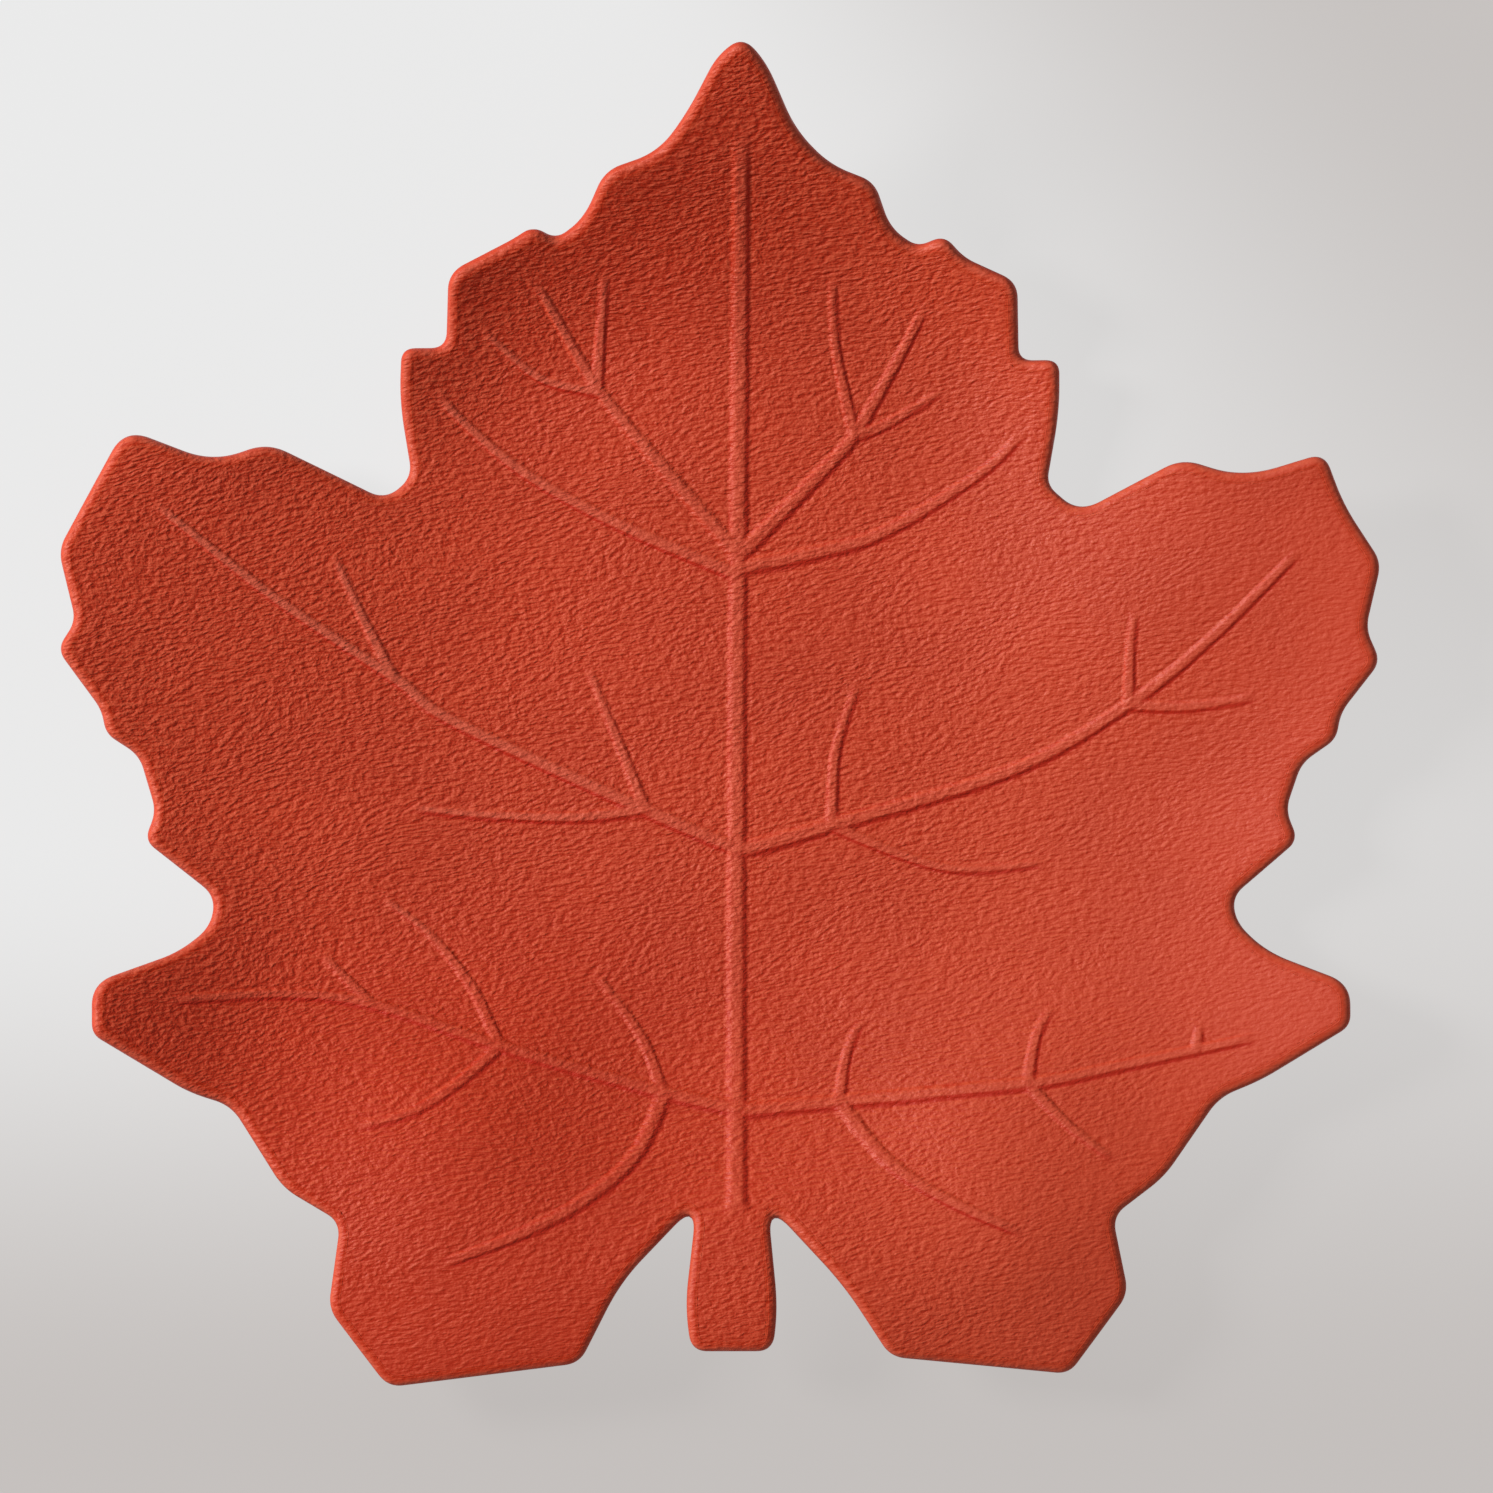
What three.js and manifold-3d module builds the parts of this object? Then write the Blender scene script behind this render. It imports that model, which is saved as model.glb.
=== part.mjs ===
// Leaf dish: a tray in the shape of a maple leaf, pressed from bonded leather.
// Three layers are cut to one outline, glued together, pressed into a dish and painted along the edge.
// Millimetres, +Z up. The leaf's tip points along +Y, and the dish stands on its flat middle.

import * as THREE from 'three';
import { mergeVertices } from 'three/addons/utils/BufferGeometryUtils.js';
import Module from 'manifold-3d';

const wasm = await Module();
wasm.setup();

// The leaf's size over the corners of its outline
const LEAF_WIDTH = 220.6;
const LEAF_LENGTH = 225.2;

// The bonded sheet, from the table up
const LINING_THICKNESS = 1.2;
const BOARD_THICKNESS = 0.8;
const FACE_THICKNESS = 1.2;
const GLUE_FILM = 0.1;

// The painted edge: a bead that stands out from the cut layers
const EDGE_DEPTH = 1.4;
const EDGE_FACETS = 4;

// The dish: a flat middle, a wall that turns up around it, and a lip beyond the wall
const DISH_CENTRE = new THREE.Vector2(0, -11);
const FLAT_RADIUS = 26;
const CURVE_WIDTH = 42;
const LIP_WIDTH = 30;

// How steeply each part of the leaf rises, as rise over run, at its bearing from the dish's centre
const SLOPES = [
  { bearing: 24, wall: 0.24, lip: 0.15 }, // upper right lobe
  { bearing: 60, wall: 0.06, lip: 0.70 }, // right shoulder of the tip lobe
  { bearing: 90, wall: 0.13, lip: 0.70 }, // tip
  { bearing: 120, wall: 0.07, lip: 0.80 }, // left shoulder of the tip lobe
  { bearing: 156, wall: 0.19, lip: 0.20 }, // upper left lobe
  { bearing: 184, wall: 0.14, lip: 0.28 }, // notch between the left lobes
  { bearing: 202, wall: 0.12, lip: 0.41 }, // lower left lobe
  { bearing: 240, wall: 0.42, lip: -0.17 }, // bottom left lobe, which bends over outwards
  { bearing: 270, wall: 0.42, lip: -0.28 }, // stem
  { bearing: 300, wall: 0.34, lip: -0.14 }, // bottom right lobe
  { bearing: 338, wall: 0.12, lip: 0.22 }, // lower right lobe
  { bearing: 356, wall: 0.12, lip: 0.30 }, // notch between the right lobes
];

// The outline as drawn, corner by corner, counter-clockwise from the tip: x, y and how far each corner is
// rounded back. The drawing is fitted to the leaf's width and length.
const OUTLINE = [
  // left half of the tip lobe
  [0.6, 112.9, 3], [-5.4, 100.3, 4], [-10.2, 93.9, 4], [-19.2, 90.8, 3], [-22.7, 82.9, 3.5],
  [-27.2, 79.5, 2], [-31.1, 81.7, 2.5], [-34.7, 79.4, 1.5], [-45.5, 73.8, 3], [-45.8, 61.1, 2.5],
  [-53.3, 61.1, 2.5], [-53.6, 51.9, 5], [-51.4, 39, 2.5], [-55.8, 35.3, 3],
  // upper left lobe
  [-75.2, 45.1, 3.5], [-84.3, 41.9, 5], [-98.8, 47.6, 4.6], [-110, 26.9, 2.5],
  [-107.2, 15.1, 2], [-110.3, 10.3, 2.3], [-103, 0.3, 1.8], [-102.2, -3.8, 1.8], [-96.7, -7.4, 2.2],
  [-94, -16.6, 2], [-95.9, -21.6, 2.2], [-84.2, -30.8, 2.5], [-84.9, -35.8, 2.8],
  // lower left lobe
  [-90.2, -40.1, 3.5], [-104.7, -45.4, 3.8], [-104.7, -53.9, 1.8], [-88.5, -63.6, 3], [-81.3, -65.9, 2.8],
  // bottom left lobe
  [-72.4, -79.3, 2.8], [-62.7, -84.8, 2.5], [-64.8, -98.8, 2.5], [-54.7, -112.3, 2.5],
  [-23, -108.1, 2.5], [-16.2, -94.8, 5], [-3.8, -82.4, 5],
  // stem
  [-5.7, -98.4, 4], [-4.7, -106.3, 2.8], [9, -106.3, 2.8], [9.8, -98.8, 4], [8.2, -82.6, 5],
  // bottom right lobe
  [20.5, -95.3, 5], [28.3, -106.8, 2.5], [58, -109.8, 2.3], [68, -96.4, 2.5], [65.3, -83.8, 2.5],
  [74, -77.4, 3],
  // lower right lobe
  [83.3, -64.4, 2.8], [90.5, -61.4, 3], [105.3, -52.4, 2], [105.3, -45.1, 3.8], [91.5, -39.9, 4],
  [86.4, -35.1, 2.8], [85.8, -30.8, 2.2],
  // upper right lobe
  [96.8, -21.4, 2.2], [94.7, -16.4, 2.2], [97.3, -8.6, 2.2], [103, -4.6, 1.8], [103.8, -0.1, 2],
  [110.3, 8.3, 2.2], [107.8, 13.8, 2.2], [110.3, 24.8, 2.3], [104, 34.4, 4], [100.7, 43.3, 3],
  [87.2, 39.1, 6], [77.2, 42.3, 3.2], [60.3, 33.1, 4], [55, 37.7, 2],
  // right half of the tip lobe
  [57.2, 50.1, 5], [57.2, 59, 2.5], [50.4, 58.9, 2.2], [50.2, 72.2, 2.8], [41.2, 76.3, 2],
  [37.8, 80.1, 2.2], [33.2, 78.2, 1.8], [28.8, 81.2, 3], [26.1, 88.9, 2.5], [18.6, 91.8, 3.5],
  [12.9, 97.5, 4], [6.9, 112.8, 3],
];

// How finely the edge and the pressed form are divided
const CORNER_STEPS = 2;
const EDGE_STEP = 9;
const EDGE_LEAST_STEP = 0.5;
const BLANK_RING_STEP = 8;
const BLANK_SPOKES = 40;
const BLANK_MARGIN = 5;

// Veins: each kind's width and height at its root and at its tip
const VEIN_SIZES = {
  midrib: { rootWidth: 4.0, tipWidth: 3.4, rootHeight: 0.75, tipHeight: 0.6 },
  main: { rootWidth: 3.4, tipWidth: 2.0, rootHeight: 0.65, tipHeight: 0.45 },
  branch: { rootWidth: 2.8, tipWidth: 1.6, rootHeight: 0.55, tipHeight: 0.4 },
};
const VEIN_STEP = 9;
const VEIN_ROOT_DEPTH = 0.5;
const VEIN_TOP_SHARE = 0.45;

// Each vein's course over the leaf as drawn, from its root to its tip, seen from above
const VEINS = [
  ['midrib', [[3, -81], [3, -14.6], [3.5, 55.4], [3.7, 98]]],
  // tip lobe, left
  ['main', [[2.5, 27], [-10.7, 42.1], [-20.3, 53.9], [-28.2, 67.3], [-31.3, 71.6]]],
  ['branch', [[-20.2, 54], [-19.5, 64.3], [-18.8, 72.8]]],
  ['branch', [[-19.8, 53], [-29.8, 55.4], [-39.2, 63.1]]],
  ['main', [[2.5, 23], [-16.3, 30.9], [-32, 39.4], [-41.5, 47.1], [-47.3, 53.1]]],
  // tip lobe, right
  ['main', [[3.5, 26], [16.8, 39.4], [22.8, 46.3], [30.5, 59.8], [34.5, 67.8]]],
  ['branch', [[22.4, 46], [19.5, 59.8], [18.8, 71.9]]],
  ['branch', [[22.4, 45.6], [28.3, 47.9], [37.2, 53.3]]],
  ['main', [[3.5, 23.8], [16, 26.3], [27.8, 29.9], [43.8, 39.8], [50.7, 46.6]]],
  // upper left lobe
  ['main', [[3, -22.8], [-12.3, -16.3], [-44.2, -1.6], [-53.7, 5.4], [-75.2, 19.9], [-94, 34.8]]],
  ['branch', [[-53.9, 5.4], [-59.3, 15.9], [-64, 25.9]]],
  ['branch', [[-12.3, -16.1], [-17, -4.3], [-21.8, 7.4]]],
  ['branch', [[-12.5, -16.3], [-24.2, -17.6], [-40.2, -17.1], [-51.2, -15.9]]],
  // upper right lobe
  ['main', [[3, -23.3], [18.5, -19], [48.5, -9.9], [68, 1.1], [82.2, 12.6], [96.7, 27.1]]],
  ['branch', [[68, 1.1], [68.3, 10.3], [69, 17.1]]],
  ['branch', [[68.2, 1], [78.3, 0.8], [89.3, 2.4]]],
  ['branch', [[18.7, -19], [19.5, -6.3], [23.2, 4.8]]],
  ['branch', [[18.5, -19], [37.5, -25.9], [54.3, -25.1]]],
  // lower left and bottom left lobes
  ['main', [[3, -66], [-9, -63.3], [-36.2, -55.6], [-57.7, -48.6], [-72, -46.9], [-92.3, -47.9]]],
  ['branch', [[-9.3, -63.2], [-13, -53.8], [-20.7, -43.3]]],
  ['branch', [[-36.5, -55.5], [-41, -45.8], [-48.2, -36.9], [-56, -30.9]]],
  ['branch', [[-57.7, -48.6], [-66.5, -39.8]]],
  ['branch', [[-36.3, -55.6], [-44.2, -62.4], [-52, -66.9], [-60.8, -68.9]]],
  ['main', [[-9, -63.5], [-13.8, -73.6], [-21.8, -80.8], [-32.2, -86.4], [-45.7, -91.6]]],
  // lower right and bottom right lobes
  ['main', [[3, -66.4], [20, -64.8], [51, -61.8], [67.8, -58.6], [89.8, -53.9]]],
  ['branch', [[20, -64.8], [21.2, -56.9], [23.8, -50.9]]],
  ['branch', [[51.2, -61.8], [52.7, -53.8], [55.3, -48.9]]],
  ['branch', [[79.2, -56.2], [79.8, -51.3]]],
  ['main', [[20, -64.8], [27.8, -74.4], [37.5, -80.8], [51, -86.8]]],
  ['branch', [[51.2, -61.8], [58.2, -68.9], [65.3, -74.4]]],
];

// The drawing's own width and length
const extent = (values) => Math.max(...values) - Math.min(...values);
const DRAWN_WIDTH = extent(OUTLINE.map(([x]) => x));
const DRAWN_LENGTH = extent(OUTLINE.map(([, y]) => y));

// Heights of the layers above the underside of the sheet
const LINING_TOP = LINING_THICKNESS;
const BOARD_BOTTOM = LINING_TOP + GLUE_FILM;
const BOARD_TOP = BOARD_BOTTOM + BOARD_THICKNESS;
const FACE_BOTTOM = BOARD_TOP + GLUE_FILM;
const SHEET_TOP = FACE_BOTTOM + FACE_THICKNESS;

// A place on the drawn leaf, fitted to the leaf's width and length
function fitted([x, y]) {
  return new THREE.Vector2((x * LEAF_WIDTH) / DRAWN_WIDTH, (y * LEAF_LENGTH) / DRAWN_LENGTH);
}

// The slopes of wall and lip at a bearing, eased from one named bearing to the next
function slopesAt(bearing) {
  const turn = 360;
  const from = SLOPES.findLast((slope) => slope.bearing <= bearing) ?? SLOPES.at(-1);
  const to = SLOPES[(SLOPES.indexOf(from) + 1) % SLOPES.length];
  const span = (to.bearing - from.bearing + turn) % turn;
  const share = ((bearing - from.bearing + turn) % turn) / span;
  const ease = THREE.MathUtils.smoothstep(share, 0, 1);
  return {
    wall: THREE.MathUtils.lerp(from.wall, to.wall, ease),
    lip: THREE.MathUtils.lerp(from.lip, to.lip, ease),
  };
}

// How far the underside of the sheet stands above the table over a point of the plan
function dishHeight(x, y) {
  const out = new THREE.Vector2(x, y).sub(DISH_CENTRE);
  const past = out.length() - FLAT_RADIUS;
  if (past <= 0) return 0;
  const { wall, lip } = slopesAt(THREE.MathUtils.radToDeg(out.angle()));
  const onCurve = Math.min(past, CURVE_WIDTH);
  const onLip = THREE.MathUtils.clamp(past - CURVE_WIDTH, 0, LIP_WIDTH);
  const beyond = Math.max(past - CURVE_WIDTH - LIP_WIDTH, 0);
  const curveRise = (wall * onCurve ** 2) / (2 * CURVE_WIDTH);
  const lipRise = wall * onLip + ((lip - wall) * onLip ** 2) / (2 * LIP_WIDTH);
  return curveRise + lipRise + lip * beyond;
}

// Turns a point of the flat sheet, at a height above its underside, into its place on the pressed dish
function press(x, y, height) {
  const reach = 0.05;
  const slopeX = (dishHeight(x + reach, y) - dishHeight(x - reach, y)) / (2 * reach);
  const slopeY = (dishHeight(x, y + reach) - dishHeight(x, y - reach)) / (2 * reach);
  const normal = new THREE.Vector3(-slopeX, -slopeY, 1).normalize();
  return new THREE.Vector3(x, y, dishHeight(x, y)).addScaledVector(normal, height);
}

// Where a drawn place lies on the flat sheet: pressing carries that spot, at a height in the sheet, to the
// drawn place
function beforePress(drawn, height) {
  const rounds = 4;
  const flat = drawn.clone();
  for (let round = 0; round < rounds; round += 1) {
    const { x, y } = press(flat.x, flat.y, height);
    flat.add(drawn).sub({ x, y });
  }
  return flat;
}

// The leaf's edge as a ring of points: rounded corners, and straight sides in steps.
// Where two roundings meet in the middle of a side, one point serves both.
function leafEdge() {
  const corners = OUTLINE.map(fitted);
  const halfSide = 0.5;
  const backOff = (corner, neighbour, round) => {
    const side = neighbour.clone().sub(corner);
    return corner.clone().addScaledVector(side, Math.min(round / side.length(), halfSide));
  };
  const arcs = corners.map((corner, i) => {
    const round = OUTLINE[i][2];
    const start = backOff(corner, corners.at(i - 1), round);
    const end = backOff(corner, corners[(i + 1) % corners.length], round);
    return new THREE.QuadraticBezierCurve(start, corner, end).getPoints(CORNER_STEPS);
  });
  const ring = arcs.flatMap((arc, i) => {
    const side = new THREE.LineCurve(arc.at(-1), arcs[(i + 1) % arcs.length][0]);
    const steps = Math.ceil(side.getLength() / EDGE_STEP);
    return [...arc, ...side.getPoints(steps).slice(1, -1)];
  });
  return ring.filter((point, i) => point.distanceTo(ring.at(i - 1)) > EDGE_LEAST_STEP);
}

// The same ring moved outwards, or inwards by a negative distance, square to its sides
function offsetRing(ring, distance) {
  return ring.map((point, i) => {
    const sideIn = point.clone().sub(ring.at(i - 1)).normalize();
    const sideOut = ring[(i + 1) % ring.length].clone().sub(point).normalize();
    const outward = new THREE.Vector2(sideIn.y + sideOut.y, -sideIn.x - sideOut.x);
    return point.clone().addScaledVector(outward, (2 * distance) / outward.lengthSq());
  });
}

// A round blank draped over the dish's form, larger than the leaf by a margin above, below and all round:
// rings and spokes about the dish's centre
function drapedBlank(edge) {
  const reach = Math.max(...edge.map((point) => point.distanceTo(DISH_CENTRE))) + BLANK_MARGIN;
  const rings = Math.ceil((reach - FLAT_RADIUS) / BLANK_RING_STEP);
  const plan = [DISH_CENTRE];
  for (let ring = 0; ring <= rings; ring += 1) {
    const radius = THREE.MathUtils.lerp(FLAT_RADIUS, reach, ring / rings);
    for (let spoke = 0; spoke < BLANK_SPOKES; spoke += 1) {
      const turn = (2 * Math.PI * spoke) / BLANK_SPOKES;
      plan.push(new THREE.Vector2(Math.cos(turn), Math.sin(turn)).multiplyScalar(radius).add(DISH_CENTRE));
    }
  }
  const triangles = [];
  for (let spoke = 0; spoke < BLANK_SPOKES; spoke += 1) {
    const next = (spoke + 1) % BLANK_SPOKES;
    triangles.push([0, 1 + spoke, 1 + next]);
    for (let ring = 0; ring < rings; ring += 1) {
      const inner = 1 + ring * BLANK_SPOKES;
      const outer = inner + BLANK_SPOKES;
      triangles.push([inner + spoke, outer + spoke, outer + next]);
      triangles.push([inner + spoke, outer + next, inner + next]);
    }
  }
  const drape = (height) => ({ x, y }) => new THREE.Vector3(x, y, dishHeight(x, y) + height);
  return thicken(plan, triangles, drape(-BLANK_MARGIN), drape(BLANK_MARGIN));
}

// The flat leaf as triangles: what is left of the blank's upper side inside the edge
function leafPlan(edge) {
  const blank = drapedBlank(edge);
  const heights = blank.points.map((point) => point.z);
  const depth = Math.max(...heights) - Math.min(...heights) + 2 * BLANK_MARGIN;
  const punch = new THREE.ExtrudeGeometry(new THREE.Shape(edge), { depth, bevelEnabled: false });
  punch.translate(0, 0, Math.min(...heights) - BLANK_MARGIN);
  const cut = solid(blank).intersect(solid(weld(punch))).getMesh();
  const places = [];
  const numbers = new Map();
  for (let i = 0; i < cut.numVert; i += 1) {
    const [x, y, z] = cut.position(i);
    if (z > dishHeight(x, y)) numbers.set(i, places.push(new THREE.Vector2(x, y)) - 1);
  }
  const triangles = [];
  for (let t = 0; t < cut.numTri; t += 1) {
    const corners = Array.from(cut.verts(t));
    if (corners.every((i) => numbers.has(i))) triangles.push(corners.map((i) => numbers.get(i)));
  }
  return { places, triangles };
}

// A closed body between two copies of a flat net of triangles, with walls along the net's open edges
function thicken(places, triangles, lower, upper) {
  const count = places.length;
  const sides = triangles.flatMap(([a, b, c]) => [[a, b], [b, c], [c, a]]);
  const known = new Set(sides.map(String));
  const rim = sides.filter(([a, b]) => !known.has(String([b, a])));
  return {
    points: [...places.map(lower), ...places.map(upper)],
    triangles: [
      ...triangles.flatMap(([a, b, c]) => [[c, b, a], [a + count, b + count, c + count]]),
      ...rim.flatMap(([a, b]) => [[a, b, b + count], [a, b + count, a + count]]),
    ],
  };
}

// One layer of the sheet between two heights, pressed to the dish's form
function layer(plan, bottom, top) {
  const pressTo = (height) => ({ x, y }) => press(x, y, height);
  return thicken(plan.places, plan.triangles, pressTo(bottom), pressTo(top));
}

// A closed body through sections of equal point counts, either capped at both ends or joined in a ring
function loft(sections, closed) {
  const sides = sections[0].length;
  const points = sections.flat();
  const triangles = [];
  const spans = closed ? sections.length : sections.length - 1;
  for (let s = 0; s < spans; s += 1) {
    const here = s * sides;
    const next = ((s + 1) % sections.length) * sides;
    for (let k = 0; k < sides; k += 1) {
      const up = (k + 1) % sides;
      triangles.push([here + k, next + k, next + up], [here + k, next + up, here + up]);
    }
  }
  if (!closed) {
    const last = points.length - sides;
    for (let k = 1; k < sides - 1; k += 1) {
      triangles.push([0, k, k + 1], [last, last + k + 1, last + k]);
    }
  }
  return { points, triangles };
}

// The painted edge: a half-round bead swept along the cut edge of the layers
function edgeBead(cutEdge) {
  const inner = offsetRing(cutEdge, GLUE_FILM);
  const reach = EDGE_DEPTH - GLUE_FILM;
  const angles = Array.from({ length: EDGE_FACETS + 1 }, (_, k) => Math.PI * (k / EDGE_FACETS - 0.5));
  const rings = angles.map((angle) => {
    const height = (SHEET_TOP / 2) * (1 + Math.sin(angle));
    return offsetRing(inner, reach * Math.cos(angle)).map(({ x, y }) => press(x, y, height));
  });
  return loft(inner.map((_, i) => rings.map((ring) => ring[i])), true);
}

// One vein: a low rounded ridge that tapers from its root to its tip, sunk a little into the face
function veinRidge([kind, course]) {
  const size = VEIN_SIZES[kind];
  const stops = course.map(fitted).map((stop) => beforePress(stop, SHEET_TOP));
  const curve = new THREE.SplineCurve(stops);
  const steps = Math.ceil(curve.getLength() / VEIN_STEP);
  const sections = Array.from({ length: steps + 1 }, (_, s) => {
    const along = s / steps;
    const at = curve.getPointAt(along);
    const ahead = curve.getTangentAt(along);
    const halfWidth = THREE.MathUtils.lerp(size.rootWidth, size.tipWidth, along) / 2;
    const height = THREE.MathUtils.lerp(size.rootHeight, size.tipHeight, along);
    const profile = [
      [1, -VEIN_ROOT_DEPTH],
      [VEIN_TOP_SHARE, height],
      [-VEIN_TOP_SHARE, height],
      [-1, -VEIN_ROOT_DEPTH],
    ];
    return profile.map(([across, up]) => {
      const side = across * halfWidth;
      return press(at.x + ahead.y * side, at.y - ahead.x * side, SHEET_TOP + up);
    });
  });
  return loft(sections, false);
}

// A geometry's points and triangles, with the points that fall together made one
function weld(geometry) {
  const bare = geometry.clone();
  bare.deleteAttribute('normal');
  bare.deleteAttribute('uv');
  const merged = mergeVertices(bare);
  const place = merged.attributes.position;
  const pointAt = (_, i) => new THREE.Vector3().fromBufferAttribute(place, i);
  const points = Array.from({ length: place.count }, pointAt);
  const index = Array.from(merged.index.array);
  const triangles = index.flatMap((_, i) => (i % 3 ? [] : [index.slice(i, i + 3)]));
  return { points, triangles };
}

// A closed body as a solid that can be joined to others
function solid({ points, triangles }) {
  const vertProperties = new Float32Array(points.flatMap((point) => point.toArray()));
  const triVerts = new Uint32Array(triangles.flat());
  return new wasm.Manifold(new wasm.Mesh({ numProp: 3, vertProperties, triVerts }));
}

// The face leather with every vein joined to it
function faceWithVeins(plan) {
  const face = solid(layer(plan, FACE_BOTTOM, SHEET_TOP));
  const joined = VEINS.map(veinRidge).map(solid).reduce((whole, vein) => whole.add(vein), face);
  const { vertProperties, triVerts } = joined.getMesh();
  return bufferGeometry(vertProperties, triVerts);
}

function bufferGeometry(positions, index) {
  const geometry = new THREE.BufferGeometry();
  geometry.setAttribute('position', new THREE.BufferAttribute(new Float32Array(positions), 3));
  geometry.setIndex(new THREE.BufferAttribute(new Uint32Array(index), 1));
  geometry.computeVertexNormals();
  return geometry;
}

function bodyGeometry({ points, triangles }) {
  return bufferGeometry(points.flatMap((point) => point.toArray()), triangles.flat());
}

function piece(name, geometry, color, roughness) {
  const material = new THREE.MeshStandardMaterial({ color, roughness, metalness: 0 });
  const mesh = new THREE.Mesh(geometry, material);
  mesh.name = name;
  return mesh;
}

const cutEdge = offsetRing(leafEdge(), -EDGE_DEPTH);
const plan = leafPlan(cutEdge);

const dish = new THREE.Group();
dish.add(
  piece('lining_leather', bodyGeometry(layer(plan, 0, LINING_TOP)), 0x8c3021, 0.85),
  piece('stiffener_board', bodyGeometry(layer(plan, BOARD_BOTTOM, BOARD_TOP)), 0x9a8466, 0.9),
  piece('face_leather', faceWithVeins(plan), 0xb9442f, 0.6),
  piece('edge_paint', bodyGeometry(edgeBead(cutEdge)), 0xc24a2e, 0.45),
);

// The origin is on the table, under the middle of the dish's box
const box = new THREE.Box3().setFromObject(dish);
const middle = box.getCenter(new THREE.Vector3());
dish.position.set(-middle.x, -middle.y, -box.min.z);

export default dish;
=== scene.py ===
"""Leaf dish: the looks of a leather tray in the shape of a maple leaf, built around its solids.

The drawing is in millimetres, with the leaf's tip along +Y, and is laid into the frame in metres.
"""

import math

import bpy
import numpy as np
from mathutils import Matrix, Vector
from mathutils.geometry import delaunay_2d_cdt
from mathutils.kdtree import KDTree


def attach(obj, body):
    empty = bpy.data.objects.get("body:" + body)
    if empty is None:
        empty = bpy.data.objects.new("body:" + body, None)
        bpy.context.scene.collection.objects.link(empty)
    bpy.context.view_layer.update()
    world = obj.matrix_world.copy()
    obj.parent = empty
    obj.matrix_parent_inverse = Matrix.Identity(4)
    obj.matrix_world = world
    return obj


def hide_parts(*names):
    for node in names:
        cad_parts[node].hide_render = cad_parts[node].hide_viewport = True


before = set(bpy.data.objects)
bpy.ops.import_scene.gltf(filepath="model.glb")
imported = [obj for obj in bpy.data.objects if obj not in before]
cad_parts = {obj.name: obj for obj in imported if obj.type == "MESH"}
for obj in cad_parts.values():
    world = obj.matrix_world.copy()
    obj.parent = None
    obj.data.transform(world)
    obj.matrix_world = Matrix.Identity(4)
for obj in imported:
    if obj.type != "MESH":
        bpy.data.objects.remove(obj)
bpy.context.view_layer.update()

MM = 0.001

# Moves the drawing's origin to the middle of the dish's box
DRAWING_SHIFT = np.array([-0.17, 0.03, 0.0])

# The bonded sheet: heights of its layers above its underside
LINING_TOP = 1.2
BOARD_BOTTOM = 1.3
BOARD_TOP = 2.1
FACE_BOTTOM = 2.2
SHEET_TOP = 3.4

# The painted edge: how far it lies inside the drawn outline, its depth, and its lap over the leathers
EDGE_EASE = 0.12
EDGE_DEPTH = 1.4
EDGE_LAP = 0.4
LAP_THICKNESS = 0.015

# The rounding at the edge's top, and the slant at its foot, which curves by a power
ROLL_WIDTH = 1.6
ROLL_HEIGHT = 1.1
ROLL_STEPS = 8
SLANT_WIDTH = 1.1
SLANT_HEIGHT = 1.9
SLANT_POWER = 1.6
SLANT_STEPS = 6

# Up the edge, from zero at mid height to one at its top: where the leather's tone starts and over how much
# it blends in, and over how much the worn turn fades out towards the top
TONE_START = 0.2
TONE_BLEND = 0.6
TURN_BLEND = 0.2

# The dish: a flat middle, a wall that turns up around it, and a lip beyond the wall
DISH_CENTRE = np.array([0.0, -11.0])
FLAT_RADIUS = 26
CURVE_WIDTH = 42
LIP_WIDTH = 30

# The reach over which a slope is measured, and the passes that find a place before pressing
SLOPE_REACH = 0.05
UNPRESS_PASSES = 4

# Bearing from the dish's centre in degrees, slope of the wall, slope of the lip
SLOPES = np.array([
    (24, 0.24, 0.15),  # upper right lobe
    (60, 0.06, 0.70),  # right shoulder of the tip lobe
    (90, 0.13, 0.70),  # tip
    (120, 0.07, 0.80),  # left shoulder of the tip lobe
    (156, 0.19, 0.20),  # upper left lobe
    (184, 0.14, 0.28),  # notch between the left lobes
    (202, 0.12, 0.41),  # lower left lobe
    (240, 0.42, -0.17),  # bottom left lobe, which bends over outwards
    (270, 0.42, -0.28),  # stem
    (300, 0.34, -0.14),  # bottom right lobe
    (338, 0.12, 0.22),  # lower right lobe
    (356, 0.12, 0.30),  # notch between the right lobes
])

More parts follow.
